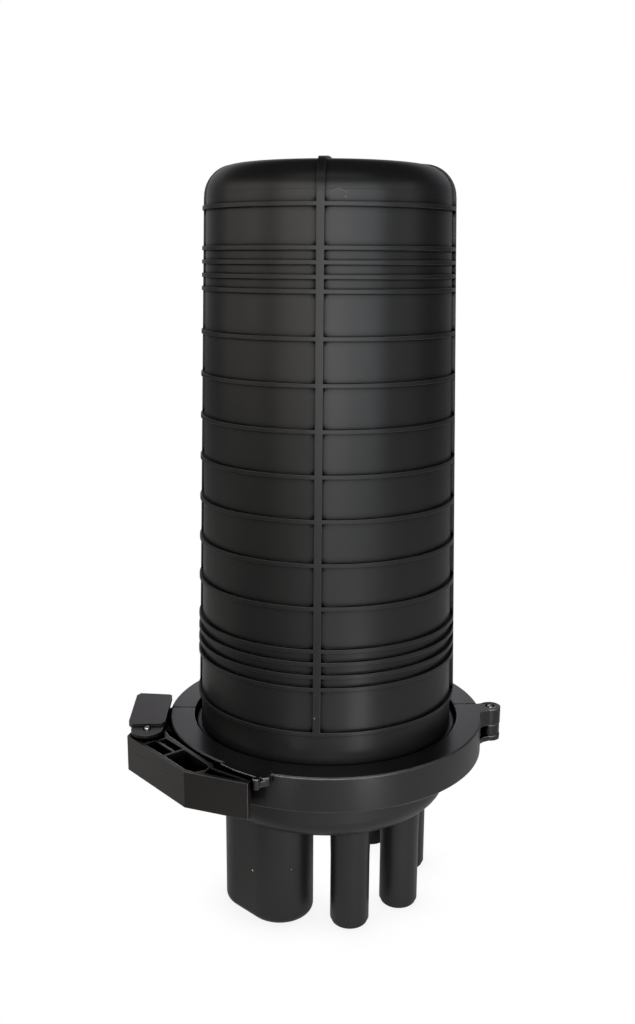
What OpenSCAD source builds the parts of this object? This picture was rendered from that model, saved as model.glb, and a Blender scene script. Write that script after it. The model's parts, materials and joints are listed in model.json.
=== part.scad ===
// Dome splice closure: ribbed dome cover on a ported base, held by a hinged
// two-piece clamp ring with an over-centre latch. Millimetres, +Z up.
// The origin is on the dome's axis, in the plane of the port tips.

/* [Dome] */
// Height of the dome's crest above the port tips
dome_top_z = 453; // [430:0.1:480]
// Outer radius of the dome's wall where it leaves the clamp
dome_foot_r = 78.9; // [74:0.1:84]
// Inward lean of the wall, in millimetres for each millimetre of height
dome_draft = 0.0252; // [0.02:0.001:0.03]
// Thickness of the dome's wall
dome_wall = 3.2; // [2.4:0.1:4]
// Radius of the rounded shoulder
shoulder_r = 18.5; // [14:0.5:20]
// Radius of the slightly domed crown
crown_r = 600; // [400:10:900]
// Turn of the four upright ribs about the dome's axis, in degrees
rib_turn = -3.7; // [-8:0.1:0]

/* [Dome ribs] */
// How far every rib stands out of the wall
rib_h = 2.2; // [1.6:0.1:2.8]
// How far the upright ribs stand above the crown
crown_rib_h = 1.3; // [1:0.1:1.6]
// Height of one ring rib
rib_w = 2.3; // [1.6:0.1:3.5]
// Width of one upright rib
upright_w = 4.3; // [3:0.1:7]
// Height of the lowest ring rib's centre
rib_low_z = 133.8; // [130:0.1:138]
// Pitch of the single ring ribs
rib_pitch = 24.7; // [23:0.1:25]
// Pitch of the ring ribs inside a group of four
rib_group_pitch = 7.5; // [6:0.1:8]
// Distance from the lowest rib to the group above it
rib_low_gap = 26.7; // [24:0.1:28]
// Distance from the top group to the highest rib
rib_high_gap = 22.3; // [20:0.1:24]

/* [Clamp ring] */
// Outer radius of the clamp ring
clamp_r = 98.8; // [90:0.1:110]
// Height of the clamp ring
clamp_h = 21.3; // [20.5:0.1:24]
// Thickness of the clamp ring's outer wall
clamp_wall = 4; // [3:0.1:5]
// Height of the joint between base and dome
joint_z = 105.4; // [102:0.1:108]
// Clear gap between the clamp's two lips and the wider of dome and bowl
lip_gap = 3.1; // [2.5:0.1:3.6]
// Clear gap between the flanges' rims and the clamp's wall
rim_gap = 0.8; // [0.5:0.1:1.5]
// Clear gap between the clamp and the flanges' faces
clamp_gap = 0.35; // [0.3:0.05:0.5]
// Gap between the clamp's two halves
split_gap = 0.9; // [0.6:0.1:1.2]

/* [Hinge and latch] */
// Distance of the hinge pin outside the clamp ring
hinge_out = 7.8; // [7:0.1:8.5]
// Radius of the hinge knuckles
knuckle_r = 6.7; // [6:0.1:7]
// Radius of the steel hinge pin
hinge_pin_r = 2; // [1.6:0.1:2.4]
// Radius of the two steel latch pins
latch_pin_r = 1.7; // [1.4:0.1:2]
// Clear radius around a pin in the piece that turns on it
running_gap = 0.05; // [0.02:0.01:0.08]
// Height of the latch lever
lever_h = 21.9; // [20:0.1:24]
// Depth of the latch lever, from its outer face inwards
lever_depth = 19; // [18:0.1:20]
// Wall thickness of the latch lever
lever_wall = 2.5; // [2:0.1:3]
// Thickness of the ribs inside the latch lever
lever_rib = 1.6; // [1.2:0.1:2]
// Thickness of the latch link's hood
link_t = 3.4; // [3:0.1:4]

/* [Base] */
// Outer radius of the base's round bowl
bowl_r = 77.5; // [75:0.1:84]
// Height of the bowl's underside above the port tips
bowl_z = 64.5; // [60:0.5:70]
// Radius of the bowl's rounded lower edge
bowl_edge_r = 12; // [8:0.5:13]
// Wall thickness of the bowl
bowl_wall = 3.5; // [3:0.1:4.5]

/* [Ports] */
// Radius of the round ports
port_r = 11.9; // [11:0.1:13]
// Radius of the closed port tips, below their step
port_tip_r = 10.9; // [10:0.1:11]
// Height of the stepped port tips
port_tip_h = 3; // [2:0.5:5]
// Wall thickness of the ports
port_wall = 2.4; // [2:0.1:3]
// Distance of the round ports from the dome's axis
port_circle_r = 56.5; // [53:0.1:58]
// Half length of the oval port
oval_half_len = 30.5; // [28:0.5:32]
// Half width of the oval port
oval_half_w = 20.6; // [18:0.1:21]
// Distance of the oval port from the dome's axis
oval_circle_r = 49; // [48:0.1:50]
// Radius of the oval port's rounded lower edge
oval_edge_r = 5; // [2:0.5:8]

/* [Splice trays] */
// Number of splice trays
tray_count = 4; // [2:1:4]
// Length of a splice tray
tray_len = 228; // [180:1:250]
// Clear gap between the trays' corners and the dome's inside
tray_gap = 5.8; // [4:0.1:9]
// Thickness of a splice tray
tray_t = 10; // [8:0.5:11]
// Spacing of the stacked trays
tray_pitch = 12; // [11.5:0.1:12.6]

/* [Tray frame] */
// Thickness of the bent sheet
frame_t = 3; // [2:0.1:4]
// Width of the upright plate
frame_plate_w = 98; // [80:1:110]
// Height of the upright plate
frame_plate_h = 292; // [260:1:310]
// Width of the storage basket behind the plate
basket_w = 76; // [60:1:84]
// Depth of the storage basket
basket_d = 36; // [25:1:40]
// Height of the storage basket
basket_h = 150; // [100:1:180]
// Width of the strap round trays and plate
strap_w = 20; // [15:1:25]

/* [Hidden] */

$fn = 96;
eps = 0.01;
plastic_black = "#2a2a2b";
steel = "#b9bbbd";

// Bearings are in degrees from the front, positive to the right seen from above.
function bearing(angle, r) = [r * sin(angle), -r * cos(angle)];

clamp_bot_z = joint_z - clamp_h / 2;
clamp_top_z = joint_z + clamp_h / 2;
split_right = 96;
split_left = -90;

// A point at the given bearing, the given distance outside the clamp ring.
function off_ring(angle, out) = bearing(angle, clamp_r + out);

// The two flanges taper towards their rims, so the clamp's lips wedge them together.
lip_r = max(dome_foot_r, bowl_r) + lip_gap;
flange_r = clamp_r - clamp_wall - rim_gap;
flange_root_r = lip_r - 1.5;
flange_in = 10.5;
flange_root_h = 7.2;
flange_rim_h = 5;
seam = 0.1;
function flange_h(r) = flange_root_h
    + (flange_rim_h - flange_root_h) * (r - flange_root_r) / (flange_r - flange_root_r);

function dome_r(z) = dome_foot_r - dome_draft * (z - clamp_top_z);

group_low_z = rib_low_z + rib_low_gap;
group_high_z = group_low_z + 3 * rib_group_pitch + 8 * rib_pitch;
ring_ribs = [
    rib_low_z,
    for (i = [0:3]) group_low_z + i * rib_group_pitch,
    for (i = [1:7]) group_low_z + 3 * rib_group_pitch + i * rib_pitch,
    for (i = [0:3]) group_high_z + i * rib_group_pitch,
    group_high_z + 3 * rib_group_pitch + rib_high_gap
];

port_bearings = [16, 56, 104, 145];
oval_bearing = -44.8;
valve_bearing = 212;
valve_circle_r = 52;

hinge_bearing = 93.6;
hinge_at = off_ring(hinge_bearing, hinge_out);
knuckle_gap = 0.15;
foot_lug_h = 3.2;

// Lever pivot, link pivot and hook, seen from above.
pivot_at = off_ring(-80.5, 10.6);
link_at = off_ring(-69.7, 16.7);
hook_gap = 4.5;
hook_t = 4;
back_ear_x = -clamp_r - 7.6;
back_ear_y = 5.4;
hook_x = back_ear_x + 2.1;
hook_y = back_ear_y + hook_gap;

lever_bot_z = clamp_bot_z - 1.1;
lever_top_z = lever_bot_z + lever_h;
link_plate_z = lever_top_z + 1;
link_top_z = link_plate_z + link_t;
link_shelf_z = link_top_z - 1.4;
link_foot_t = 2.6;
link_foot_z = lever_bot_z - 0.4 - link_foot_t;

frame_turn = -10;
boss_r = 6.5;
boss_reach = 56.5;
boss_top_z = clamp_bot_z + 5.7;
frame_foot_w = 20;
frame_plate_y = 7;
tray_slack = 2;
screw_r = 2;
screw_len = 12;
bolt_len = 6;
bolt_r = 2.4;
clamp_reach = 40;
tray_bot_z = boss_top_z + 50;
tray_corner_r = 16;
tray_floor_t = 1.6;
cover_t = 1.4;
hinge_rod_z = tray_bot_z - 7;
hinge_rod_r = 2;

// The trays are as wide as the dome leaves room for at the cover's upper corners.
function tray_y(i) = frame_plate_y - tray_slack - i * tray_pitch;
cover_y = tray_y(tray_count - 1) - tray_t - cover_t;
tray_room_r = dome_r(tray_bot_z + tray_len) - dome_wall - tray_gap;
tray_w = 2 * sqrt(pow(tray_room_r, 2) - pow(cover_y, 2));

valve_stem_r = 5;
valve_thread_r = 3.8;

// A rectangle with round corners, centred on the origin.
module round_rect(w, h, r) {
    square([w - 2 * r, h], center = true);
    square([w, h - 2 * r], center = true);
    for (x = [-1, 1], y = [-1, 1]) translate([x * (w / 2 - r), y * (h / 2 - r)]) circle(r = r);
}

// A stadium of the given half length and half width, long along X.
module stadium(half_len, half_w) {
    square([2 * (half_len - half_w), 2 * half_w], center = true);
    for (x = [-1, 1]) translate([x * (half_len - half_w), 0]) circle(r = half_w);
}

// ---- Dome ----

// Half section of the dome's envelope, grown outwards by the given amount.
module dome_section(grow) {
    top = dome_top_z - crown_rib_h + min(grow, crown_rib_h);
    corner = shoulder_r - rib_h + grow;
    cx = dome_r(top - corner) + grow - corner;
    cz = top - crown_r + sqrt(pow(crown_r - corner, 2) - pow(cx, 2));
    tangent_r = cx * crown_r / (crown_r - corner);
    foot = clamp_bot_z;
    polygon([[0, foot], [dome_r(foot) + grow, foot], [dome_r(cz) + grow, cz], [0, cz]]);
    intersection() {
        translate([cx, cz]) circle(r = corner, $fn = 128);
        translate([0, cz - corner]) square([cx + corner, 2 * corner]);
    }
    intersection() {
        translate([0, top - crown_r]) circle(r = crown_r, $fn = 360);
        translate([0, cz - eps]) square([tangent_r, top - cz + 1]);
    }
}

module dome_envelope(grow) {
    rotate_extrude() dome_section(grow);
}

module rib_slabs() {
    reach = dome_foot_r + 20;
    for (z = ring_ribs) translate([0, 0, z - rib_w / 2]) cylinder(r = reach, h = rib_w);
    for (a = [0, 90]) rotate([0, 0, a + rib_turn])
        translate([-reach, -upright_w / 2, rib_low_z - rib_w / 2])
            cube([2 * reach, upright_w, dome_top_z]);
}

// Half section of a flange that thins towards its rim, on the positive side of the seam.
module flange_section() {
    inner = flange_root_r - flange_in;
    polygon([[inner, 0], [flange_r, 0], [flange_r, flange_rim_h],
        [flange_root_r, flange_root_h], [inner, flange_root_h]]);
}

module dome_flange() {
    translate([0, 0, joint_z + seam]) rotate_extrude() flange_section();
}

module dome_cover() {
    color(plastic_black) difference() {
        union() {
            difference() {
                union() {
                    dome_envelope(0);
                    intersection() {
                        dome_envelope(rib_h);
                        rib_slabs();
                    }
                }
                translate([0, 0, -1]) cylinder(r = clamp_r, h = joint_z + seam + 1);
            }
            dome_flange();
        }
        dome_envelope(-dome_wall);
    }
}

// ---- Base ----

// How far the ports run up into the bowl.
port_bite = 2;

module round_port() {
    root_h = 20;
    translate([0, 0, port_tip_h]) cylinder(r = port_r, h = bowl_z - root_h - port_tip_h);
    translate([0, 0, bowl_z - root_h])
        cylinder(r1 = port_r, r2 = port_r + 0.5, h = root_h + port_bite);
    translate([0, 0, 0.8]) cylinder(r = port_tip_r, h = port_tip_h);
    cylinder(r1 = port_tip_r - 0.8, r2 = port_tip_r, h = 0.8);
}

// Half outline of the oval port, with its rounded lower edge.
module oval_half() {
    edge = oval_edge_r;
    translate([0, edge]) square([oval_half_w, bowl_z + port_bite - edge]);
    square([oval_half_w - edge, edge + eps]);
    intersection() {
        translate([oval_half_w - edge, edge]) circle(r = edge);
        square([oval_half_w, edge + eps]);
    }
}

module oval_port() {
    straight = oval_half_len - oval_half_w;
    for (x = [-straight, straight]) translate([x, 0, 0]) rotate_extrude() oval_half();
    translate([-straight, 0, 0]) rotate([90, 0, 90]) linear_extrude(2 * straight) {
        oval_half();
        mirror([1, 0]) oval_half();
    }
}

module at_port(angle, r) {
    translate(bearing(angle, r)) rotate([0, 0, angle]) children();
}

module bowl_section(inset) {
    edge = bowl_edge_r - inset;
    r = bowl_r - inset;
    z = bowl_z + inset;
    translate([0, z + edge]) square([r, joint_z - seam - z - edge]);
    translate([0, z]) square([r - edge, edge + eps]);
    intersection() {
        translate([r - edge, z + edge]) circle(r = edge);
        translate([r - edge - eps, z]) square([edge + 1, edge + eps]);
    }
}

module base_flange() {
    translate([0, 0, joint_z - seam]) mirror([0, 0, 1]) rotate_extrude() flange_section();
}

// The seal lies midway between the dome's inside and the flanges' rims.
seal_r = (dome_foot_r - dome_wall + flange_r) / 2;
seal_section_r = 2.2;
seal_groove_w = 2 * seal_section_r + 1;
seal_groove_h = 4.2;

module base_housing() {
    floor_top_z = bowl_z + bowl_wall;
    color(plastic_black) difference() {
        union() {
            difference() {
                union() {
                    rotate_extrude() bowl_section(0);
                    base_flange();
                }
                rotate_extrude() bowl_section(bowl_wall);
                translate([0, 0, joint_z - 9]) cylinder(r = bowl_r - bowl_wall - 3, h = 12);
            }
            for (a = port_bearings) at_port(a, port_circle_r) round_port();
            at_port(oval_bearing, oval_circle_r) oval_port();
            rotate([0, 0, frame_turn]) for (x = [-boss_reach, boss_reach])
                translate([x, 0, bowl_z + 1]) cylinder(r = boss_r, h = boss_top_z - bowl_z - 1);
        }
        for (a = port_bearings) at_port(a, port_circle_r)
            translate([0, 0, port_wall]) cylinder(r = port_r - port_wall, h = floor_top_z);
        at_port(oval_bearing, oval_circle_r) translate([0, 0, oval_edge_r])
            linear_extrude(floor_top_z) stadium(oval_half_len - port_wall, oval_half_w - port_wall);
        translate(bearing(valve_bearing, valve_circle_r)) translate([0, 0, bowl_z - 1])
            cylinder(r = valve_stem_r + 0.1, h = bowl_wall + 2);
        rotate([0, 0, frame_turn]) for (x = [-boss_reach, boss_reach])
            translate([x, 0, boss_top_z - screw_len - 4]) cylinder(r = screw_r + 0.05, h = screw_len + 8);
        rotate_extrude() translate([seal_r - seal_groove_w / 2, joint_z - seam - seal_groove_h])
            square([seal_groove_w, seal_groove_h + 1]);
    }
}

module sealing_ring() {
    color("#6e7072") rotate_extrude()
        translate([seal_r, joint_z + seam - seal_section_r]) circle(r = seal_section_r, $fn = 48);
}

// ---- Clamp ring ----

// Half section of the clamp: a channel whose two lips wedge over the flanges.
module clamp_section() {
    inner = clamp_r - clamp_wall;
    bevel = 1.6;
    lip_h = flange_h(lip_r) + seam + clamp_gap;
    rim_h = flange_h(inner) + seam + clamp_gap;
    half = clamp_h / 2;
    round_edge = 0.6;
    for (side = [-1, 1]) polygon([
        [inner, joint_z - side * eps], [clamp_r, joint_z - side * eps],
        [clamp_r, joint_z + side * (half - round_edge)],
        [clamp_r - round_edge, joint_z + side * half],
        [lip_r + bevel, joint_z + side * half], [lip_r, joint_z + side * (half - bevel)],
        [lip_r, joint_z + side * lip_h], [inner, joint_z + side * rim_h]
    ]);
}

// The sector from one bearing to another, as a tall prism.
module sector(from, to) {
    reach = 2 * clamp_r;
    step = (to - from) / 4;
    linear_extrude(reach) polygon([[0, 0], for (i = [0:4]) bearing(from + i * step, reach)]);
}

module clamp_half(from, to) {
    trim = split_gap / 2 / clamp_r * 180 / PI;
    intersection() {
        rotate_extrude($fn = 180) clamp_section();
        sector(from + trim, to - trim);
    }
}

// A flat shape that grows out of the clamp ring's wall.
module on_ring_wall(z, h) {
    translate([0, 0, z]) linear_extrude(h) difference() {
        union() children();
        circle(r = clamp_r - clamp_wall + 1);
    }
}

// Two lugs of the front half, over and under the back half's knuckle.
module front_hinge_knuckle() {
    x = hinge_at[0];
    y = hinge_at[1];
    for (layer = [[clamp_bot_z, foot_lug_h], [joint_z + knuckle_gap, clamp_h / 2 - knuckle_gap]])
        on_ring_wall(layer[0], layer[1]) {
            translate(hinge_at) circle(r = knuckle_r);
            polygon([off_ring(95.7, -4.3), [x - 7, y + 3.6], [x, y + knuckle_r - 0.6],
                [x, y - knuckle_r + 0.6], [x - 5, y - 9], off_ring(83.8, -3.2)]);
        }
}

module back_hinge_knuckle() {
    x = hinge_at[0];
    y = hinge_at[1];
    z0 = clamp_bot_z + foot_lug_h + 2 * knuckle_gap;
    on_ring_wall(z0, joint_z - knuckle_gap - z0) {
        translate(hinge_at) circle(r = knuckle_r - 0.3);
        polygon([off_ring(104.6, -3.7), off_ring(97.1, -0.6), [x - 5, y + 3.2], [x, y],
            [x + 4.3, y + 4.2], [x - 3, y + 8], off_ring(106, -1)]);
    }
}

// Fork on the front half that holds the lever's pivot.
ear_t = 3.6;
ear_low_z = lever_bot_z + 3.9;
ear_high_z = lever_top_z - 2.6 - ear_t;
ear_r = 7.6;

module front_latch_ear() {
    x = pivot_at[0];
    y = pivot_at[1];
    root = [off_ring(-71, -3.6), off_ring(-71.7, -0.3)];
    for (z = [ear_low_z, ear_high_z]) on_ring_wall(z, ear_t) {
        translate(pivot_at) circle(r = ear_r);
        polygon([each root, off_ring(-74.3, 3), [x, y - ear_r], [x, y + ear_r],
            off_ring(-85, -0.4), off_ring(-86.2, -8.6)]);
    }
    on_ring_wall(ear_low_z, ear_high_z + ear_t - ear_low_z)
        polygon([each root, off_ring(-74.2, 2.4), off_ring(-85, -0.1), off_ring(-86.2, -8.6)]);
}

// Thin lug beside the lever's free end, with the round peg that the end snaps behind.
catch_peg_at = off_ring(-20.6, 9.7);
catch_peg_r = 2.1;
catch_lug_h = 4.5;

module lever_catch() {
    z0 = clamp_top_z - catch_lug_h;
    on_ring_wall(z0, catch_lug_h + 0.3)
        polygon([off_ring(-36, -5.8), off_ring(-36, 2.7), off_ring(-30, 4.6), off_ring(-25, 5.8),
            off_ring(-21.4, 6.9), off_ring(-18.7, 7), off_ring(-17.4, 4.9), off_ring(-18.5, -5.8)]);
    translate([0, 0, z0]) linear_extrude(catch_lug_h - 1) polygon([
        catch_peg_at + [-0.3, catch_peg_r - 0.8],
        catch_peg_at - [0, catch_peg_r - 0.6],
        off_ring(-17.4, 4.9), off_ring(-20.6, 3.8)
    ]);
    translate([catch_peg_at[0], catch_peg_at[1], z0 - 0.6])
        cylinder(r = catch_peg_r, h = catch_lug_h + 1.6);
}

module clamp_front() {
    color(plastic_black) difference() {
        union() {
            clamp_half(split_left, split_right);
            front_hinge_knuckle();
            front_latch_ear();
            lever_catch();
        }
        translate([hinge_at[0], hinge_at[1], clamp_bot_z - 1])
            cylinder(r = hinge_pin_r + 0.02, h = clamp_h + 2);
        translate([hinge_at[0], hinge_at[1], clamp_top_z - 1.2]) cylinder(r = hinge_pin_r + 1.1, h = 5);
        translate([pivot_at[0], pivot_at[1], clamp_bot_z])
            cylinder(r = latch_pin_r + 0.02, h = lever_h + 8);
    }
}

module back_latch_ear() {
    root_x = -clamp_r + 6.8;
    neck_x = back_ear_x + 3.8;
    low_y = 1;
    on_ring_wall(lever_bot_z + 4, lever_h - 7)
        polygon([[root_x, low_y], [neck_x, low_y], [back_ear_x + 1, low_y + 0.4],
            [back_ear_x, low_y + 1.4], [back_ear_x, back_ear_y - 1], [back_ear_x + 1, back_ear_y],
            [neck_x, back_ear_y], [neck_x + 2, back_ear_y + 1.8],
            [root_x - 2, back_ear_y + 11.6], [root_x + 2, back_ear_y + 11.6]]);
}

module clamp_back() {
    color(plastic_black) difference() {
        union() {
            clamp_half(split_right, split_left + 360);
            back_hinge_knuckle();
            back_latch_ear();
        }
        translate([hinge_at[0], hinge_at[1], clamp_bot_z - 1])
            cylinder(r = hinge_pin_r + running_gap, h = clamp_h);
    }
}

module hinge_pin() {
    color(steel) {
        translate([hinge_at[0], hinge_at[1], clamp_bot_z - 0.6])
            cylinder(r = hinge_pin_r, h = clamp_h - 0.2);
    }
}

// ---- Latch ----

// The lever is drawn along its first face: s runs along the face, w inwards from it.
lever_corner = off_ring(-70, 28.7);
lever_knee = off_ring(-41.1, 22.2);
lever_tip = off_ring(-22.1, 14.6);
function turn_of(v) = atan2(v[1], v[0]);
lever_face_len = norm(lever_knee - lever_corner);
lever_face_turn = turn_of(lever_knee - lever_corner);
lever_end_len = norm(lever_tip - lever_knee);
lever_end_turn = turn_of(lever_tip - lever_knee) - lever_face_turn;
lever_cross_s = lever_face_len - 25.1;
lever_mid_w = 10;

module along_lever() {
    translate(lever_corner) rotate(lever_face_turn) children();
}

module along_lever_end() {
    along_lever() translate([lever_face_len, 0]) rotate(lever_end_turn) children();
}

module lever_outline() {
    len = lever_face_len;
    along_lever() {
        polygon([[0, 0], [len, 0], [len + 5, lever_depth - 2], [len - 4, lever_depth - 0.8],
            [len - 24.4, lever_depth - 0.4], [14.8, lever_depth + 1], [8.5, lever_depth + 3], [-3, 4]]);
        translate([len + 0.5, lever_depth - 4.8]) circle(r = 4.2);
    }
    along_lever_end()
        polygon([[0, 0], [lever_end_len, 0], [lever_end_len, lever_wall + 1.6], [14, 10.6], [4, 16]]);
    translate(link_at) circle(r = 9);
}

module lever_pockets() {
    len = lever_face_len;
    inner_w = lever_depth - lever_wall;
    half_rib = lever_rib / 2;
    cross_s = lever_cross_s;
    first_s = 16.6;
    along_lever() {
        translate([first_s, lever_wall])
            square([cross_s - half_rib - first_s, lever_mid_w - half_rib - lever_wall]);
        translate([first_s + 1.4, lever_mid_w + half_rib])
            square([cross_s - half_rib - first_s - 1.4, inner_w - lever_mid_w - half_rib - 0.4]);
        polygon([[cross_s + half_rib, lever_wall], [len - 1, lever_wall], [len + 4, lever_wall + 2.1],
            [len + 5.6, inner_w - 5.7], [len + 4.2, inner_w - 2.1], [len, inner_w - 0.9],
            [cross_s + half_rib, inner_w - 0.4]]);
    }
    end_s = lever_end_len - 2.6;
    along_lever_end()
        polygon([[11, lever_wall], [end_s, lever_wall], [end_s, lever_wall + 0.7],
            [14.6, lever_wall + 6.1], [11, lever_wall + 7.7]]);
}

// Shallow pocket round the link pin's barrel, under the link's nose.
module lever_nose_pocket() {
    translate([0, 0, lever_top_z - 5]) linear_extrude(6) difference() {
        along_lever() polygon([[2, lever_wall], [15, lever_wall], [16.4, lever_depth - 2.4],
            [9.4, lever_depth + 1], [0.6, 8]]);
        translate(link_at) circle(r = latch_pin_r + 3.5);
    }
}

// Parting line along the lever's first face.
module lever_seam() {
    translate([0, 0, lever_top_z - 8]) linear_extrude(0.4)
        along_lever() translate([-1, -1]) square([lever_face_len - 1.4, 1.25]);
}

module latch_lever() {
    knuckle_z = ear_low_z + ear_t + 0.3;
    knuckle_h = ear_high_z - 0.3 - knuckle_z;
    knuckle = 7.2;
    x = pivot_at[0];
    y = pivot_at[1];
    color(plastic_black) difference() {
        union() {
            translate([0, 0, lever_bot_z]) linear_extrude(lever_h) lever_outline();
            translate([0, 0, knuckle_z]) linear_extrude(knuckle_h) {
                translate(pivot_at) circle(r = knuckle);
                polygon([[x - knuckle, y], [x + knuckle, y], link_at + [8, 3], link_at + [-8, 3]]);
            }
        }
        translate([0, 0, lever_bot_z + 2.2]) linear_extrude(lever_h) lever_pockets();
        lever_nose_pocket();
        lever_seam();
        for (at = [pivot_at, link_at]) translate([at[0], at[1], lever_bot_z - 1])
            cylinder(r = latch_pin_r + running_gap, h = lever_h + 8);
    }
}

// The link is drawn from its two ends: the link pin and the hook.
function by_pin(x, y) = link_at + [x, y];
function by_hook(x, y) = [hook_x + x, hook_y + y];

module link_outline() {
    polygon([by_pin(-12.5, 9), by_hook(-18.4, 0.1), by_hook(-16.3, 3.7), by_hook(2.9, 1.9),
        by_hook(4.4, 0.3), by_pin(9.8, 8.4), by_pin(8, 5), by_pin(-9.6, 4.4)]);
}

module link_nose() {
    translate(link_at) circle(r = 9.6);
    polygon([by_pin(-11.2, 7.4), by_pin(-8.6, -0.5), by_pin(-3.6, -8), by_pin(3.6, -7.6),
        by_pin(8, -1), by_pin(9.8, 7.4)]);
}

module link_foot() {
    translate(link_at) circle(r = 7);
    polygon([by_pin(-6.6, 2), by_hook(-14.3, 0.7), by_hook(-12.7, 3), by_hook(0, 2.5),
        by_hook(1, -0.9), by_pin(6.8, 2)]);
}

module link_hook() {
    polygon([by_hook(-16.7, 0.1), by_hook(-15.1, hook_t - 0.4), by_hook(0, hook_t - 1.6),
        by_hook(0, 0), by_hook(-10.3, 0), by_hook(-12.7, -1.9), by_hook(-16.7, -5.9)]);
}

module latch_link() {
    link_h = link_top_z - link_foot_z;
    color(plastic_black) difference() {
        union() {
            translate([0, 0, link_plate_z]) linear_extrude(link_t) link_outline();
            translate([0, 0, link_plate_z]) linear_extrude(link_shelf_z - link_plate_z) link_nose();
            translate([0, 0, link_foot_z]) linear_extrude(link_foot_t) link_foot();
            translate([0, 0, link_foot_z]) linear_extrude(link_h - 1) link_hook();
        }
        translate([link_at[0], link_at[1], link_foot_z - 1])
            cylinder(r = latch_pin_r + 0.02, h = link_h + 2);
        translate([link_at[0], link_at[1], link_shelf_z - 1]) cylinder(r = latch_pin_r + 1, h = 5);
    }
}

module lever_pin() {
    color(steel) translate([pivot_at[0], pivot_at[1], lever_bot_z + 3.4])
        cylinder(r = latch_pin_r, h = lever_h - 5.6);
}

module link_pin() {
    color(steel) translate([link_at[0], link_at[1], link_foot_z])
        cylinder(r = latch_pin_r, h = link_shelf_z - link_foot_z + 0.6);
}

// ---- Inside the dome ----

module tray_frame() {
    foot_len = 2 * boss_reach + 16;
    plate_hole_pitch = 38;
    plate_hole_r = 11;
    color("#c9cbca") rotate([0, 0, frame_turn]) difference() {
        union() {
            translate([-foot_len / 2, -frame_foot_w / 2, boss_top_z])
                cube([foot_len, frame_foot_w, frame_t]);
            translate([-frame_plate_w / 2, frame_plate_y, boss_top_z])
                cube([frame_plate_w, frame_t, frame_plate_h]);
            for (x = [-24, 24 - frame_t]) translate([x, -frame_foot_w / 2 + 6, boss_top_z])
                cube([frame_t, frame_plate_y + frame_foot_w / 2 - 5, 12]);
        }
        for (x = [-boss_reach, boss_reach]) translate([x, 0, boss_top_z - 1])
            cylinder(r = screw_r + 0.1, h = frame_t + 2);
        for (x = [-clamp_reach, clamp_reach]) translate([x, 0, boss_top_z - 1])
            cylinder(r = bolt_r + 0.1, h = frame_t + 2);
        for (i = [1:5]) translate([0, frame_plate_y - 1, boss_top_z + 60 + i * plate_hole_pitch])
            rotate([-90, 0, 0]) cylinder(r = plate_hole_r, h = frame_t + 2);
    }
}

module frame_screws() {
    color(steel) rotate([0, 0, frame_turn]) for (x = [-boss_reach, boss_reach])
        translate([x, 0, boss_top_z + frame_t]) {
            cylinder(r = 4.4, h = 2.6);
            translate([0, 0, -frame_t - screw_len])
                cylinder(r = screw_r, h = frame_t + screw_len + eps);
        }
}

module storage_basket() {
    wall = 2;
    slot_w = 8;
    slot_pitch = 14;
    slot_h = basket_h - 48;
    color("#b7b9b8") rotate([0, 0, frame_turn])
        translate([0, frame_plate_y + frame_t, boss_top_z + 24]) difference() {
            translate([-basket_w / 2, 0, 0]) cube([basket_w, basket_d, basket_h]);
            translate([-basket_w / 2 + wall, wall, wall])
                cube([basket_w - 2 * wall, basket_d - 2 * wall, basket_h]);
            for (i = [-2:2]) translate([i * slot_pitch - slot_w / 2, basket_d - wall - 1, 24])
                cube([slot_w, wall + 2, slot_h]);
        }
}

module tray_hinge() {
    front_y = cover_y - 0.6;
    half_w = 33;
    cheek_t = 3;
    cheek_h = 14;
    z0 = hinge_rod_z - 8;
    color("#c9cbca") rotate([0, 0, frame_turn]) {
        for (x = [-half_w, half_w]) translate([x - cheek_t / 2, front_y, z0])
            cube([cheek_t, frame_plate_y - front_y, cheek_h]);
        translate([-half_w, frame_plate_y - tray_slack, z0]) cube([2 * half_w, tray_slack, cheek_h]);
        for (i = [0:tray_count - 1]) translate([-half_w, tray_y(i) - tray_t / 2, hinge_rod_z])
            rotate([0, 90, 0]) cylinder(r = hinge_rod_r, h = 2 * half_w);
    }
}

module splice_tray(i) {
    rim = 1.8;
    spool_r = 24;
    spool_z = 52;
    ear_w = 28;
    y1 = tray_y(i);
    rod_y = y1 - tray_t / 2;
    rod_gap = 0.1;
    mouth_w = 3.4;
    color("#d9dbd8") rotate([0, 0, frame_turn]) {
        translate([0, y1, tray_bot_z + tray_len / 2]) rotate([90, 0, 0]) difference() {
            linear_extrude(tray_t) round_rect(tray_w, tray_len, tray_corner_r);
            translate([0, 0, tray_floor_t]) linear_extrude(tray_t)
                round_rect(tray_w - 2 * rim, tray_len - 2 * rim, tray_corner_r - rim);
        }
        for (z = [spool_z, tray_len - spool_z])
            translate([0, y1 - tray_floor_t + eps, tray_bot_z + z]) rotate([90, 0, 0]) difference() {
                cylinder(r = spool_r, h = tray_t - tray_floor_t - 1);
                translate([0, 0, -1]) cylinder(r = spool_r - 1.6, h = tray_t);
            }
        difference() {
            translate([-ear_w / 2, y1 - tray_t, hinge_rod_z - hinge_rod_r - 1.6])
                cube([ear_w, tray_t, tray_bot_z + rim - hinge_rod_z + hinge_rod_r + 1.2]);
            translate([-ear_w / 2 - 1, rod_y, hinge_rod_z]) rotate([0, 90, 0])
                cylinder(r = hinge_rod_r + rod_gap, h = ear_w + 2);
            translate([-ear_w / 2 - 1, rod_y - mouth_w / 2, hinge_rod_z - 5])
                cube([ear_w + 2, mouth_w, 5]);
        }
    }
}

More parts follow.
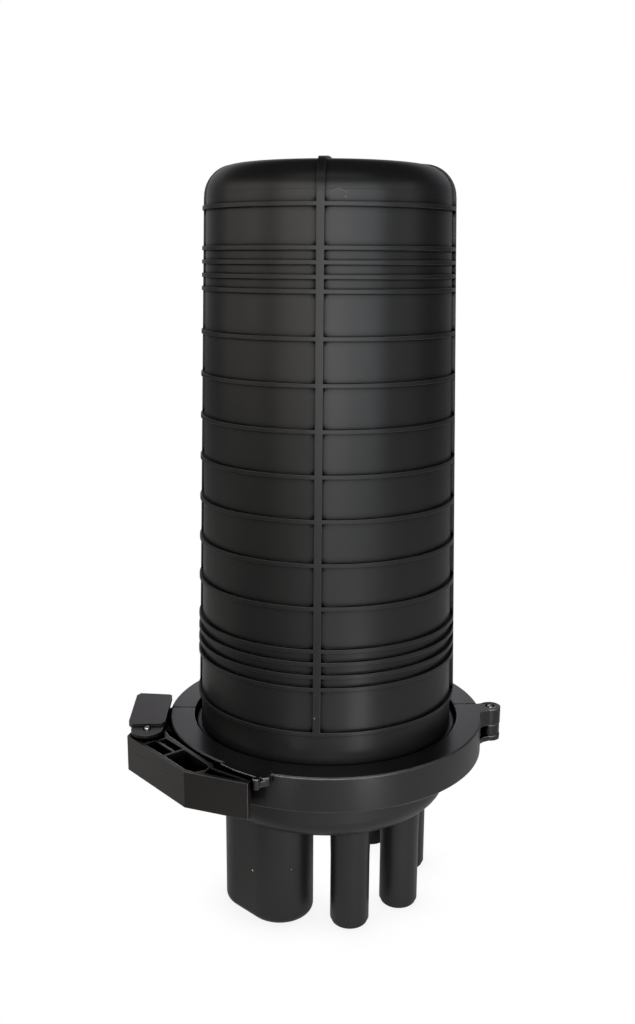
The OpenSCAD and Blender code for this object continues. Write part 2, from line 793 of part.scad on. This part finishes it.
module splice_combs() {
    comb = [72, 7, 28];
    slot = 3.2;
    slot_pitch = 5.6;
    color("#3f5f8a") rotate([0, 0, frame_turn]) for (i = [0:tray_count - 1])
        translate([0, tray_y(i) - tray_floor_t, tray_bot_z + tray_len / 2]) difference() {
            translate([-comb[0] / 2, -comb[1], -comb[2] / 2]) cube(comb);
            for (k = [-6:5]) translate([(k + 0.5) * slot_pitch - slot / 2, -comb[1] - 1, -comb[2]])
                cube([slot, slot_pitch, 2 * comb[2]]);
        }
}

module tray_cover() {
    color("#dfe6e8") rotate([0, 0, frame_turn])
        translate([0, cover_y + cover_t, tray_bot_z + tray_len / 2]) rotate([90, 0, 0])
            linear_extrude(cover_t) round_rect(tray_w, tray_len, tray_corner_r);
}

module tray_strap() {
    t = 1.6;
    loose = 0.4;
    y0 = cover_y - loose;
    y1 = frame_plate_y + frame_t + loose;
    w = max(frame_plate_w, tray_w) + 2 * loose;
    color("#26282a") rotate([0, 0, frame_turn])
        translate([0, 0, tray_bot_z + 0.7 * tray_len]) difference() {
            translate([-w / 2 - t, y0 - t, 0]) cube([w + 2 * t, y1 - y0 + 2 * t, strap_w]);
            translate([-w / 2, y0, -1]) cube([w, y1 - y0, strap_w + 2]);
        }
}

module strength_clamps() {
    clip_w = 10;
    clip_t = 2;
    clip_h = 14;
    clip_y = -9;
    color(steel) rotate([0, 0, frame_turn]) for (x = [-clamp_reach, clamp_reach])
        translate([x, 0, boss_top_z + frame_t]) difference() {
            union() {
                translate([-clip_w / 2, clip_y, 0]) cube([clip_w, 15, clip_t]);
                translate([-clip_w / 2, clip_y, 0]) cube([clip_w, clip_t, clip_h]);
            }
            translate([0, 0, -1]) cylinder(r = bolt_r + 0.1, h = clip_t + 2);
            translate([0, clip_y + clip_t + 1, 9]) rotate([90, 0, 0])
                cylinder(r = 1.8, h = clip_t + 2);
        }
}

module clamp_bolts() {
    clip_t = 2;
    color(steel) rotate([0, 0, frame_turn]) for (x = [-clamp_reach, clamp_reach])
        translate([x, 0, boss_top_z + frame_t + clip_t]) {
            cylinder(r = bolt_r + 1.8, h = 3, $fn = 6);
            translate([0, 0, -frame_t - bolt_len])
                cylinder(r = bolt_r, h = frame_t + bolt_len + eps);
        }
}

// ---- Air valve ----

module at_valve() {
    translate(bearing(valve_bearing, valve_circle_r)) children();
}

valve_flange_h = 3;
valve_cap_h = 19;

module valve_body() {
    top_z = bowl_z + bowl_wall + 9;
    thread_z = bowl_z - valve_flange_h - valve_cap_h + 1.6;
    color("#c8a24a") at_valve() difference() {
        union() {
            translate([0, 0, bowl_z]) cylinder(r = valve_stem_r, h = top_z - bowl_z);
            translate([0, 0, bowl_z - valve_flange_h])
                cylinder(r = valve_stem_r + 3.2, h = valve_flange_h);
            translate([0, 0, thread_z]) cylinder(r = valve_thread_r, h = bowl_z - thread_z - 1);
        }
        translate([0, 0, thread_z - 1]) cylinder(r = 1.6, h = top_z - thread_z + 2);
    }
}

module valve_nut() {
    color(steel) at_valve() translate([0, 0, bowl_z + bowl_wall]) difference() {
        cylinder(r = valve_stem_r + 3, h = 4.5, $fn = 6);
        translate([0, 0, -1]) cylinder(r = valve_stem_r + 0.02, h = 7);
    }
}

module valve_cap() {
    h = valve_cap_h;
    r = valve_thread_r + 2;
    color("#1d1d1e") at_valve() translate([0, 0, bowl_z - valve_flange_h - 0.3 - h]) difference() {
        union() {
            translate([0, 0, 1]) cylinder(r = r, h = h - 1);
            cylinder(r1 = r - 1, r2 = r, h = 1);
            for (a = [0:30:330]) rotate([0, 0, a]) translate([r - 0.2, -0.5, 2]) cube([0.7, 1, h - 4]);
        }
        translate([0, 0, 1.4]) cylinder(r = valve_thread_r + running_gap, h = h);
    }
}

dome_cover();
base_housing();
sealing_ring();
clamp_front();
clamp_back();
hinge_pin();
latch_lever();
latch_link();
lever_pin();
link_pin();
tray_frame();
frame_screws();
storage_basket();
tray_hinge();
splice_tray(0);  // splice_tray_1
splice_tray(1);  // splice_tray_2
splice_tray(2);  // splice_tray_3
splice_tray(3);  // splice_tray_4
splice_combs();
tray_cover();
tray_strap();
strength_clamps();
clamp_bolts();
valve_body();
valve_nut();
valve_cap();
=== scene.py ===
"""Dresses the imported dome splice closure: satin black mouldings, domed pin heads, a few specks of dust and
a scratch, on a plain white stage. Metres, in the CAD's frame."""
import json
import math
import random

import bpy
from mathutils import Matrix, Vector


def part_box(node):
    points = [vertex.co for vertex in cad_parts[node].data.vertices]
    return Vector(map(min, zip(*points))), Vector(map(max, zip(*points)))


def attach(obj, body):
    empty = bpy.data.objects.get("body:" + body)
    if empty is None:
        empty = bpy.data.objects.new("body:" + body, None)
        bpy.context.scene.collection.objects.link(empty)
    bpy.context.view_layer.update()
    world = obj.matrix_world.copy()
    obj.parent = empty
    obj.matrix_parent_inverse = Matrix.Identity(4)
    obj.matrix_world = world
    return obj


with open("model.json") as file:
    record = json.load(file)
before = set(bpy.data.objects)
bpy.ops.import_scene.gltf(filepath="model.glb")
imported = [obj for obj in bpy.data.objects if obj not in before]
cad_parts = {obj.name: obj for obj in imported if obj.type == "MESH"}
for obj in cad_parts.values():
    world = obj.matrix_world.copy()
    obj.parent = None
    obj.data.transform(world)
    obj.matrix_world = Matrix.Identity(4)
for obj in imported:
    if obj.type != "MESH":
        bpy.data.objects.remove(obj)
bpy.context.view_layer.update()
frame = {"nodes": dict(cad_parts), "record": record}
MM = 0.001
NODES = frame["nodes"]
SLOT_OF = {s["node"]: s["material_slot"] for s in frame["record"]["subparts"]}


# ---- Materials ----

def socket(shader, name, value):
    """Sets one of the shader's plain values."""
    shader.inputs[name].default_value = value


def new_material(name):
    """A material with nothing but a Principled shader, and that shader."""
    material = bpy.data.materials.new(name)
    material.use_nodes = True
    nodes = material.node_tree.nodes
    nodes.clear()
    out = nodes.new("ShaderNodeOutputMaterial")
    shader = nodes.new("ShaderNodeBsdfPrincipled")
    material.node_tree.links.new(shader.outputs[0], out.inputs[0])
    return material, shader


def object_coords(tree):
    return tree.nodes.new("ShaderNodeTexCoord").outputs["Object"]


def noise(tree, scale, detail, coords, distortion=0.0):
    """Cloudy values around 0.5, finer with a larger scale."""
    node = tree.nodes.new("ShaderNodeTexNoise")
    node.inputs["Scale"].default_value = scale
    node.inputs["Detail"].default_value = detail
    node.inputs["Distortion"].default_value = distortion
    tree.links.new(coords, node.inputs["Vector"])
    return node.outputs["Fac"]


def ramp(tree, fac, low, high):
    """A colour ramp from (position, colour) to (position, colour)."""
    node = tree.nodes.new("ShaderNodeValToRGB")
    for element, (position, colour) in zip(node.color_ramp.elements, (low, high)):
        element.position = position
        element.color = (*colour, 1)
    tree.links.new(fac, node.inputs[0])
    return node.outputs[0]


def map_range(tree, fac, low, high, to_low, to_high):
    """Values from low to high become values from to_low to to_high, held at both ends."""
    node = tree.nodes.new("ShaderNodeMapRange")
    for name, value in zip(("From Min", "From Max", "To Min", "To Max"), (low, high, to_low, to_high)):
        node.inputs[name].default_value = value
    tree.links.new(fac, node.inputs["Value"])
    return node.outputs["Result"]


def combine(tree, kind, a, b):
    """Two values joined by a maths operation, such as MULTIPLY or MAXIMUM."""
    node = tree.nodes.new("ShaderNodeMath")
    node.operation = kind
    tree.links.new(a, node.inputs[0])
    tree.links.new(b, node.inputs[1])
    return node.outputs[0]


def multiply_add(tree, a, factor, b):
    """a times a fixed factor, plus b."""
    node = tree.nodes.new("ShaderNodeMath")
    node.operation = "MULTIPLY_ADD"
    tree.links.new(a, node.inputs[0])
    node.inputs[1].default_value = factor
    tree.links.new(b, node.inputs[2])
    return node.outputs[0]


def dot_product(tree, a, b):
    """How far a points along b, which is an output or a fixed direction."""
    node = tree.nodes.new("ShaderNodeVectorMath")
    node.operation = "DOT_PRODUCT"
    tree.links.new(a, node.inputs[0])
    if isinstance(b, tuple):
        node.inputs[1].default_value = b
    else:
        tree.links.new(b, node.inputs[1])
    return node.outputs["Value"]


def mix_colours(tree, factor, a, b):
    """a where the factor is 0 and b where it is 1, each an output or a fixed colour."""
    node = tree.nodes.new("ShaderNodeMix")
    node.data_type = "RGBA"
    tree.links.new(factor, node.inputs["Factor"])
    for name, colour in (("A", a), ("B", b)):
        if isinstance(colour, tuple):
            node.inputs[name].default_value = (*colour, 1)
        else:
            tree.links.new(colour, node.inputs[name])
    return node.outputs["Result"]


def openness(tree, reach, samples, only_local=False):
    """1 in the open, and less where faces within reach (mm) close in."""
    node = tree.nodes.new("ShaderNodeAmbientOcclusion")
    node.samples = samples
    node.only_local = only_local
    node.inputs["Distance"].default_value = reach * MM
    return node.outputs["AO"]


def bump(tree, shader, height, distance, strength=1.0, normal=None):
    """Relief of the given distance (mm) on the shader's normal."""
    node = tree.nodes.new("ShaderNodeBump")
    node.inputs["Strength"].default_value = strength
    node.inputs["Distance"].default_value = distance * MM
    tree.links.new(height, node.inputs["Height"])
    if normal:
        tree.links.new(normal, node.inputs["Normal"])
    tree.links.new(node.outputs[0], shader.inputs["Normal"])


SPLITS = ((-1, -90), (1, 96))  # side along X, and bearing, of each plane where the clamp ring is parted


def split_shadow(tree, at):
    """1 beside the two planes where the clamp ring is parted, and 0 on the end faces there."""
    found = None
    for side, bearing in SPLITS:
        turn = math.radians(bearing)
        across = (math.cos(turn), math.sin(turn), 0)
        away = tree.nodes.new("ShaderNodeMath")
        away.operation = "ABSOLUTE"
        tree.links.new(dot_product(tree, at, across), away.inputs[0])
        line = map_range(tree, away.outputs[0], 0.6 * MM, 1.1 * MM, 1.0, 0.0)
        place = tree.nodes.new("ShaderNodeSeparateXYZ")
        tree.links.new(at, place.inputs[0])
        here = map_range(tree, place.outputs["X"], 0, side * 10 * MM, 0.0, 1.0)
        line = combine(tree, "MULTIPLY", line, here)
        facing = dot_product(tree, tree.nodes.new("ShaderNodeTexCoord").outputs["Normal"], across)
        end_face = combine(tree, "MULTIPLY", facing, facing)
        line = combine(tree, "MULTIPLY", line, map_range(tree, end_face, 0.3, 0.6, 1.0, 0.0))
        found = line if found is None else combine(tree, "MAXIMUM", found, line)
    return found


def edge_wear_and_highlight(tree, rounded, clamp):
    """1 on the edges, from how far the rounded normal leaves the face's own: partly wear, partly painted
    highlight; on the clamp a painted highlight, mostly in front.
    """
    flat = tree.nodes.new("ShaderNodeNewGeometry").outputs["Normal"]
    edge = map_range(tree, dot_product(tree, rounded, flat), 0.99, 0.85, 0.0, 0.9)
    if clamp:
        # painted highlight: on the clamp the pale edge stays mostly where it faces the front lamps
        front_and_up = (-0.1, -0.65, 0.75)
        front = map_range(tree, dot_product(tree, rounded, front_and_up), 0.8, 0.95, 0.12, 1.0)
        edge = combine(tree, "MULTIPLY", edge, front)
    return edge


def uneven_gloss(tree, at, rough):
    """Roughness with broad clouds and finer, weaker handling marks."""
    marks = 0.3
    clouds = noise(tree, 9, 4, at, 0.8)
    fine = noise(tree, 160, 3, at)
    both = multiply_add(tree, fine, marks, clouds)
    return map_range(tree, both, 0.35, 0.95, rough - 0.05, rough + 0.06)


def moulded_plastic(name, colour, rough, grain=0.12, specular=0.5, edge_wear_and_highlight_lift=0.022, edge_width=0.6,
                    crease_shade_reach=3.5, tint=(1, 1, 1), clamp=False):
    """Satin moulded plastic: faint colour drift, fine grain, uneven gloss, pale edges that are partly wear
    and partly a painted highlight, and painted shade that makes creases dark and dull. edge_width and the
    crease reach are in mm."""
    material, shader = new_material(name)
    tree = material.node_tree
    at = object_coords(tree)
    socket(shader, "IOR", 1.5)
    socket(shader, "Specular Tint", (*tint, 1))

    drift = noise(tree, 14, 3, at, 0.4)
    base = ramp(tree, drift, (0.3, [c * 0.86 for c in colour]), (0.7, [c * 1.14 for c in colour]))

    bevel = tree.nodes.new("ShaderNodeBevel")
    bevel.inputs["Radius"].default_value = edge_width * MM
    bevel.samples = 6
    rounded = bevel.outputs[0]
    edge = edge_wear_and_highlight(tree, rounded, clamp)
    # paler edges: partly wear, partly a painted highlight
    base = mix_colours(tree, edge, base, tuple(c * 1.5 + edge_wear_and_highlight_lift for c in colour))

    only_local = crease_shade_reach < 5  # a longer reach is for creases between two pieces
    # painted shade: faces closed in by others within the reach are darkened
    crease = openness(tree, crease_shade_reach, 4, only_local)
    free_of_painted_shade = map_range(tree, crease, 0.5, 0.8, 0.0, 1.0)
    # painted shadow along the clamp's split lines
    if clamp:
        closed = map_range(tree, split_shadow(tree, at), 0, 1, 1.0, 0.0)
        free_of_painted_shade = combine(tree, "MULTIPLY", free_of_painted_shade, closed)
    # painted shade: creases, and the clamp's split lines, go near black and lose their gloss
    base = mix_colours(tree, free_of_painted_shade, (0.0005, 0.0005, 0.0005), base)
    tree.links.new(base, shader.inputs["Base Color"])
    tree.links.new(map_range(tree, free_of_painted_shade, 0, 1, 0.0, specular), shader.inputs["Specular IOR Level"])
    tree.links.new(uneven_gloss(tree, at, rough), shader.inputs["Roughness"])

    fine_grain = noise(tree, 1900, 2, at)
    swell = noise(tree, 60, 2, at)
    bump(tree, shader, multiply_add(tree, swell, 1.5, fine_grain), 0.05, grain, rounded)
    return material


def metal(name, colour, rough, grain_scale, along=(1, 1, 1)):
    """Plain metal with fine brush lines or turning marks."""
    material, shader = new_material(name)
    tree = material.node_tree
    at = object_coords(tree)
    stretch = tree.nodes.new("ShaderNodeMapping")
    stretch.inputs["Scale"].default_value = along
    tree.links.new(at, stretch.inputs["Vector"])
    socket(shader, "Metallic", 1.0)
    lines = noise(tree, grain_scale, 3, stretch.outputs[0])
    base = ramp(tree, lines, (0.3, [c * 0.85 for c in colour]), (0.7, colour))
    tree.links.new(base, shader.inputs["Base Color"])
    rough_out = map_range(tree, lines, 0.3, 0.7, rough - 0.06, rough + 0.08)
    tree.links.new(rough_out, shader.inputs["Roughness"])
    bump(tree, shader, lines, 0.03, 0.15)
    return material


def clear_plastic(name):
    """Clear sheet with a faint uneven haze."""
    material, shader = new_material(name)
    tree = material.node_tree
    at = object_coords(tree)
    socket(shader, "Transmission Weight", 0.85)
    socket(shader, "IOR", 1.45)
    haze = noise(tree, 40, 3, at)
    base = ramp(tree, haze, (0.3, (0.86, 0.9, 0.92)), (0.7, (0.93, 0.96, 0.97)))
    tree.links.new(base, shader.inputs["Base Color"])
    rough_out = map_range(tree, haze, 0.3, 0.7, 0.12, 0.25)
    tree.links.new(rough_out, shader.inputs["Roughness"])
    return material


def woven(name, colour):
    """Narrow woven strap: two crossed sets of threads."""
    material, shader = new_material(name)
    tree = material.node_tree
    at = object_coords(tree)
    socket(shader, "Sheen Weight", 0.3)
    threads = []
    for axis in ("X", "Z"):
        wave = tree.nodes.new("ShaderNodeTexWave")
        wave.bands_direction = axis
        wave.inputs["Scale"].default_value = 420
        tree.links.new(at, wave.inputs["Vector"])
        threads.append(wave.outputs["Fac"])
    weave = combine(tree, "MULTIPLY", *threads)
    base = ramp(tree, weave, (0.0, [c * 0.5 for c in colour]), (1.0, [c * 1.6 for c in colour]))
    tree.links.new(base, shader.inputs["Base Color"])
    rough_out = map_range(tree, weave, 0, 1, 0.95, 0.8)
    tree.links.new(rough_out, shader.inputs["Roughness"])
    bump(tree, shader, weave, 0.3)
    return material


MATERIALS = {
    "dome_plastic": moulded_plastic("dome_plastic", (0.0045, 0.0045, 0.0046), 0.36, specular=0.3,
                                    edge_wear_and_highlight_lift=0.035),
    "base_plastic": moulded_plastic("base_plastic", (0.007, 0.007, 0.007), 0.36, specular=0.42),
    "clamp_plastic": moulded_plastic("clamp_plastic", (0.0050, 0.0048, 0.0052), 0.29, grain=0.08,
                                     specular=0.44, edge_wear_and_highlight_lift=0.5, edge_width=1.25, crease_shade_reach=12,
                                     clamp=True),
    "latch_plastic": moulded_plastic("latch_plastic", (0.0065, 0.0058, 0.0055), 0.34, grain=0.08,
                                     specular=0.42, edge_wear_and_highlight_lift=0.1, crease_shade_reach=18,
                                     tint=(1, 0.98, 0.96)),
    "cap_plastic": moulded_plastic("cap_plastic", (0.015, 0.015, 0.016), 0.5),
    "seal_rubber": moulded_plastic("seal_rubber", (0.14, 0.14, 0.145), 0.7, grain=0.2),
    "tray_plastic": moulded_plastic("tray_plastic", (0.66, 0.67, 0.65), 0.45),
    "comb_rubber": moulded_plastic("comb_rubber", (0.05, 0.10, 0.24), 0.65, grain=0.2),
    "pin_steel": metal("pin_steel", (0.60, 0.61, 0.62), 0.34, 900),
    "frame_metal": metal("frame_metal", (0.66, 0.67, 0.67), 0.36, 120, (1, 1, 12)),
    "valve_brass": metal("valve_brass", (0.72, 0.52, 0.22), 0.3, 300, (1, 1, 10)),
    "clear_cover": clear_plastic("clear_cover"),
    "strap_fabric": woven("strap_fabric", (0.03, 0.03, 0.034)),
}
SCUFF = moulded_plastic("pale_scuff", (0.08, 0.08, 0.075), 0.6)
DUST = moulded_plastic("white_dust", (0.3, 0.29, 0.26), 0.7)

for node, obj in NODES.items():
    obj.data.materials.clear()
    obj.data.materials.append(MATERIALS[SLOT_OF[node]])
    for polygon in obj.data.polygons:
        polygon.material_index = 0


# ---- Small pieces the solids leave out ----

def finish(obj, material, body):
    """Gives a new piece its material and the body that carries it."""
    obj.data.materials.clear()
    obj.data.materials.append(material)
    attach(obj, body)


def pin_head(name, node, radius, height, body):
    """Domed end of a steel pin, on the middle of the pin's top."""
    low, high = (Vector(corner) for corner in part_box(node))
    bpy.ops.mesh.primitive_uv_sphere_add(segments=32, ring_count=16, radius=radius * MM)
    head = bpy.context.object
    head.name = name
    head.scale.z = height / radius
    head.location = ((low.x + high.x) / 2, (low.y + high.y) / 2, high.z)
    for polygon in head.data.polygons:
        polygon.use_smooth = True
    finish(head, MATERIALS["pin_steel"], body)


def on_surface(node, bearing, z):
    """Where a level ray from outside, at that bearing from the axis, meets the node's outer face, and the
    face's direction there."""
    reach = 300
    turn = math.radians(bearing)
    out = Vector((math.sin(turn), -math.cos(turn), 0))
    obj = NODES[node]
    to_local = obj.matrix_world.inverted()
    start = to_local @ (out * reach * MM + Vector((0, 0, z * MM)))
    way = (to_local.to_3x3() @ -out).normalized()
    _, at, normal, _ = obj.ray_cast(start, way)
    return obj.matrix_world @ at, (obj.matrix_world.to_3x3() @ normal).normalized()


def fleck(name, node, bearing, z, size):
    """One small uneven speck of white dust, pressed flat on the node."""
    at, normal = on_surface(node, bearing, z)
    bpy.ops.mesh.primitive_ico_sphere_add(subdivisions=2, radius=size / 2 * MM)
    speck = bpy.context.object
    speck.name = name
    for vertex in speck.data.vertices:
        vertex.co *= RANDOM.uniform(0.75, 1.15)
        vertex.co.z *= 0.15
    speck.rotation_mode = "QUATERNION"
    speck.rotation_quaternion = normal.to_track_quat("Z", "Y")
    speck.location = at
    finish(speck, DUST, "closure")


def scratch(name, node, path, width):
    """A thin pale scratch through the given bearings and heights, laid on the node's face."""
    curve = bpy.data.curves.new(name, "CURVE")
    curve.dimensions = "3D"
    curve.bevel_depth = width / 2 * MM
    line = curve.splines.new("POLY")
    line.points.add(len(path) - 1)
    for point, (bearing, z) in zip(line.points, path):
        at, _ = on_surface(node, bearing, z)
        point.co = (*at, 1)
    obj = bpy.data.objects.new(name, curve)
    bpy.context.collection.objects.link(obj)
    bpy.context.view_layer.objects.active = obj
    for other in bpy.context.selected_objects:
        other.select_set(False)
    obj.select_set(True)
    bpy.ops.object.convert(target="MESH")
    finish(bpy.context.object, SCUFF, "closure")


RANDOM = random.Random(7)
pin_head("hinge_pin_head", "hinge_pin", 1.9, 1.3, "closure")
pin_head("link_pin_head", "link_pin", 1.6, 1.2, "latch_link")
fleck("dust_on_oval_port", "base_housing", -38.9, 32.8, 1.5)
fleck("dust_on_oval_side", "base_housing", -18.1, 37.5, 0.6)
fleck("dust_on_rib", "dome_cover", -4.5, 143.6, 0.7)
fleck("dust_on_crown", "dome_cover", 6.7, 428.9, 0.6)
scratch("scratch_on_shoulder", "dome_cover",
        [(0.4, 430.8), (2.0, 432.3), (4.1, 432.8), (6.2, 431.8), (7.5, 430.9)], 0.35)


# ---- Stage, light and camera ----

def seen_rays(tree):
    """1 for camera and clear rays, which find plain white, and 1 for mirrored ones, which find the studio."""
    path = tree.nodes.new("ShaderNodeLightPath").outputs
    straight = combine(tree, "MAXIMUM", path["Is Camera Ray"], path["Is Transmission Ray"])
    return straight, path["Is Glossy Ray"]


def white_stage():
    """A pale floor, white to the camera but for a faint painted contact shadow. To mirrored rays it glows as
    a painted reflection, dim close in front, darkest at the left, and a little brighter in a lane behind; its
    colour is darker at the left front, a painted shade that sends less light onto the object."""
    bpy.ops.mesh.primitive_plane_add(size=14, location=(0, 0, 0))
    floor = bpy.context.object
    floor.name = "floor"
    material, shader = new_material("floor_paper")
    tree = material.node_tree
    at = object_coords(tree)
    paper = noise(tree, 30, 4, at)
    pale = ramp(tree, paper, (0.3, (0.80, 0.80, 0.80)), (0.7, (0.84, 0.84, 0.84)))
    socket(shader, "Roughness", 0.9)
    straight, glossy = seen_rays(tree)
    place = tree.nodes.new("ShaderNodeSeparateXYZ")
    tree.links.new(at, place.inputs[0])
    # painted shade: the floor's colour is darker at the left front, so the object's lower left catches and
    # reflects less light
    painted_left_shade = combine(tree, "MAXIMUM", map_range(tree, place.outputs["X"], -0.25, 0.08, 0.0, 1.0),
                     map_range(tree, place.outputs["Y"], -0.12, 0.02, 0.0, 0.85))
    tree.links.new(mix_colours(tree, painted_left_shade, (0.25, 0.25, 0.25), pale), shader.inputs["Base Color"])
    # painted reflection: mirrored rays see a shaped glow on the floor, not lamp light
    near = map_range(tree, place.outputs["Y"], -0.42, -0.12, 0.04, 0.3)
    far = map_range(tree, place.outputs["Y"], -0.1, 0.15, 1.0, 0.25)
    side = map_range(tree, place.outputs["X"], -0.25, 0.08, 0.12, 1.15)
    beside = map_range(tree, place.outputs["Y"], -0.12, 0.02, 0.0, 0.6)
    left = combine(tree, "MAXIMUM", side, beside)
    painted_reflection_glow = combine(tree, "MULTIPLY", combine(tree, "MULTIPLY", near, far), left)
    across = combine(tree, "MULTIPLY", place.outputs["X"], place.outputs["X"])
    lane = map_range(tree, across, 0.05, 0.2, 1.0, 0.0)
    behind = map_range(tree, place.outputs["Y"], 0.2, 0.5, 0.0, 0.5)
    painted_reflection_glow = combine(tree, "MAXIMUM", painted_reflection_glow, combine(tree, "MULTIPLY", behind, lane))
    seen = combine(tree, "MAXIMUM", straight, combine(tree, "MULTIPLY", glossy, painted_reflection_glow))
    glow = tree.nodes.new("ShaderNodeEmission")
    # painted contact shadow: the floor's glow dims where the object stands close
    painted_contact_shadow = map_range(tree, openness(tree, 25, 8), 0.5, 0.95, 0.9, 1.0)
    tree.links.new(painted_contact_shadow, glow.inputs["Strength"])
    both = tree.nodes.new("ShaderNodeMixShader")
    tree.links.new(seen, both.inputs[0])
    tree.links.new(shader.outputs[0], both.inputs[1])
    tree.links.new(glow.outputs[0], both.inputs[2])
    out = next(n for n in tree.nodes if n.type == "OUTPUT_MATERIAL")
    tree.links.new(both.outputs[0], out.inputs[0])
    floor.data.materials.append(material)


def white_world():
    """White all round for camera rays. Mirrored, a pale backdrop behind the object and dim elsewhere."""
    world = bpy.data.worlds.new("studio")
    bpy.context.scene.world = world
    world.use_nodes = True
    tree = world.node_tree
    background = tree.nodes["Background"]
    straight, glossy = seen_rays(tree)
    direction = tree.nodes.new("ShaderNodeSeparateXYZ")
    tree.links.new(tree.nodes.new("ShaderNodeTexCoord").outputs["Generated"], direction.inputs[0])
    backdrop = map_range(tree, direction.outputs["Y"], 0.45, 1.0, 0.0, 0.42)
    above = map_range(tree, direction.outputs["Z"], 0.15, 0.36, 1.0, 1.8)
    low = map_range(tree, direction.outputs["Z"], 0.42, 0.62, 1.0, 0.0)
    band = combine(tree, "MULTIPLY", above, low)
    mirrored = combine(tree, "MULTIPLY", combine(tree, "MULTIPLY", backdrop, band), glossy)
    seen = combine(tree, "MAXIMUM", straight, mirrored)
    strength = map_range(tree, seen, 0, 1, 0.07, 1.0)
    tree.links.new(strength, background.inputs["Strength"])
    tree.links.new(ramp(tree, glossy, (0, (1, 1, 1)), (1, (0.97, 0.93, 1))), background.inputs["Color"])


def softbox(name, at, aim, size, power, colour=(1, 1, 1)):
    """A rectangular lamp of a width and height in metres and a power in watts."""
    data = bpy.data.lights.new(name, "AREA")
    data.shape = "RECTANGLE"
    data.size, data.size_y = size
    data.energy = power
    data.color = colour
    obj = bpy.data.objects.new(name, data)
    obj.location = at
    obj.rotation_euler = (Vector(aim) - Vector(at)).to_track_quat("-Z", "Y").to_euler()
    bpy.context.collection.objects.link(obj)


def studio_light():
    """A curved bank of softboxes by bearing, one behind, a strip above, and two low ones near the clamp."""
    middle = (0, 0, 0.24)
    reach = 1.45
    warm, plain, cool = (1, 0.96, 0.9), (1, 1, 1), (0.93, 0.97, 1)
    for name, angle, width, height, power, colour in (
            ("back_left", -93, 0.8, 0.62, 2.1, warm), ("side_left", -68, 0.6, 0.64, 3.0, warm),
            ("front_left", -30, 0.8, 0.64, 7.3, warm), ("front", 4, 0.8, 0.5, 10.5, plain),
            ("front_right", 34, 0.7, 0.55, 7.3, cool), ("side_right", 72, 0.7, 0.66, 2.1, plain)):
        turn = math.radians(angle)
        at = (reach * math.sin(turn), -reach * math.cos(turn), height)
        softbox(name, at, middle, (width, 0.8), power, colour)
    softbox("back", (0, 1.45, 0.3), middle, (0.5, 0.4), 1.3)
    softbox("streak_right", (0.185, -0.37, 0.02), (0.02, -0.09, 0.1), (0.09, 0.05), 0.14)
    softbox("streak_left", (-0.15, -0.35, 0.02), (-0.03, -0.09, 0.1), (0.06, 0.05), 0.03)
    softbox("rim", (0, -0.75, 1.35), (0, 0, 0.1), (1.2, 0.12), 1.2)


def camera():
    """The lens stands two thirds of a metre in front of the dome, looking a little down on it."""
    down, turn, roll = (math.radians(a) for a in (12.771, -0.454, 0.329))
    forward = Vector((math.sin(turn) * math.cos(down), math.cos(turn) * math.cos(down), -math.sin(down)))
    right = Vector((math.cos(turn), -math.sin(turn), 0))
    up = right.cross(forward)
    right, up = (math.cos(roll) * right + math.sin(roll) * up,
                 -math.sin(roll) * right + math.cos(roll) * up)
    data = bpy.data.cameras.new("camera")
    data.sensor_width = 24
    data.lens = 25.99
    data.clip_start = 0.01
    obj = bpy.data.objects.new("camera", data)
    bpy.context.collection.objects.link(obj)
    turned = Matrix((right, up, -forward)).transposed().to_4x4()
    obj.matrix_world = Matrix.Translation((-0.0006, -0.6665, 0.3964)) @ turned
    bpy.context.scene.camera = obj


white_stage()
white_world()
studio_light()
camera()
bpy.context.scene.view_settings.view_transform = "Standard"
